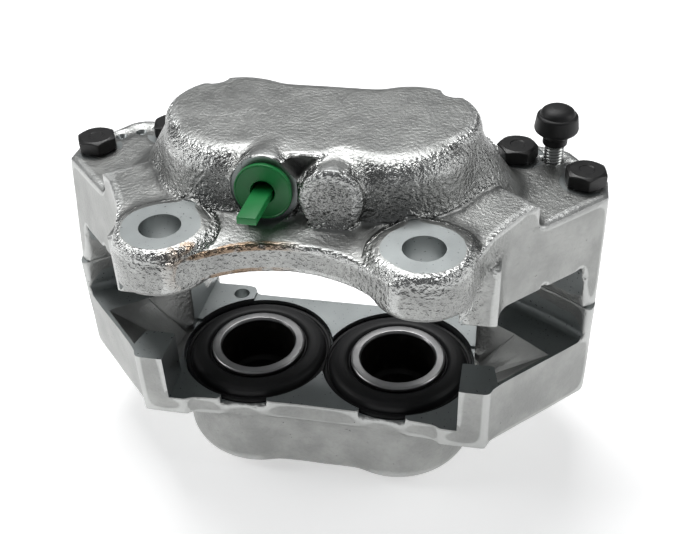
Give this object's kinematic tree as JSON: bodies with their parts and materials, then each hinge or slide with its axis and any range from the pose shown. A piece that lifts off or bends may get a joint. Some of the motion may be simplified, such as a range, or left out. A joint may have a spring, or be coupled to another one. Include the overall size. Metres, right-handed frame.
{
  "type": "brake caliper",
  "caption": "Fixed opposed-piston disc brake caliper of two bolted cast halves, with mounting lugs, cup pistons, dust boots, bleed screw and plugged fluid inlet.",
  "frame": {"origin": "midway between the two mounting holes, on their spot-face plane", "axes": "+X along the caliper through the mounting holes, +Y away from the axle, +Z along the pistons towards the knuckle side"},
  "size_m": [0.21, 0.1121, 0.15],
  "materials": {
    "housing": "zinc-plated sand casting with machined faces",
    "piston": "ground and plated",
    "rubber": "matt moulded rubber",
    "black_bolt": "black oxide",
    "bleed_steel": "zinc plated",
    "plug": "moulded green polyethylene"
  },
  "bodies": {
    "caliper_body": {"inboard_housing": "housing", "outboard_housing": "housing", "piston_seal_inboard_left": "rubber", "dust_boot_inboard_left": "rubber", "piston_seal_inboard_right": "rubber", "dust_boot_inboard_right": "rubber", "piston_seal_outboard_left": "rubber", "dust_boot_outboard_left": "rubber", "piston_seal_outboard_right": "rubber", "dust_boot_outboard_right": "rubber", "bridge_bolt_front_left": "black_bolt", "bridge_bolt_rear_left": "black_bolt", "transfer_seal_left": "rubber", "bridge_bolt_front_right": "black_bolt", "bridge_bolt_rear_right": "black_bolt", "transfer_seal_right": "rubber"},
    "piston_inboard_left": {"piston_inboard_left": "piston"},
    "piston_inboard_right": {"piston_inboard_right": "piston"},
    "piston_outboard_left": {"piston_outboard_left": "piston"},
    "piston_outboard_right": {"piston_outboard_right": "piston"},
    "bleed_screw": {"bleed_screw": "bleed_steel"},
    "bleed_screw_cap": {"bleed_screw_cap": "rubber"},
    "inlet_port_plug": {"inlet_port_plug": "plug"}
  },
  "joints": [
    {"name": "piston_slide_inboard_left", "type": "slide", "parent": "caliper_body", "child": "piston_inboard_left", "axis": [0, 0, -1], "range_m": [0, 0.012], "deforming": ["dust_boot_inboard_left"]},
    {"name": "piston_slide_inboard_right", "type": "slide", "parent": "caliper_body", "child": "piston_inboard_right", "axis": [0, 0, -1], "range_m": [0, 0.012], "deforming": ["dust_boot_inboard_right"]},
    {"name": "piston_slide_outboard_left", "type": "slide", "parent": "caliper_body", "child": "piston_outboard_left", "axis": [0, 0, 1], "range_m": [0, 0.012], "deforming": ["dust_boot_outboard_left"]},
    {"name": "piston_slide_outboard_right", "type": "slide", "parent": "caliper_body", "child": "piston_outboard_right", "axis": [0, 0, 1], "range_m": [0, 0.012], "deforming": ["dust_boot_outboard_right"]},
    {"name": "bleed_screw_turn", "type": "hinge", "parent": "caliper_body", "child": "bleed_screw", "pos_m": [0.0843, 0.0838, -0.012], "axis": [0, 0, 1], "range_deg": [0, 360]},
    {"name": "bleed_cap_pull", "type": "slide", "parent": "bleed_screw", "child": "bleed_screw_cap", "axis": [0, 0, 1], "range_m": [0, 0.016]},
    {"name": "inlet_plug_pull", "type": "slide", "parent": "caliper_body", "child": "inlet_port_plug", "axis": [0, -0.9962, 0.0872], "range_m": [0, 0.015]}
  ]
}
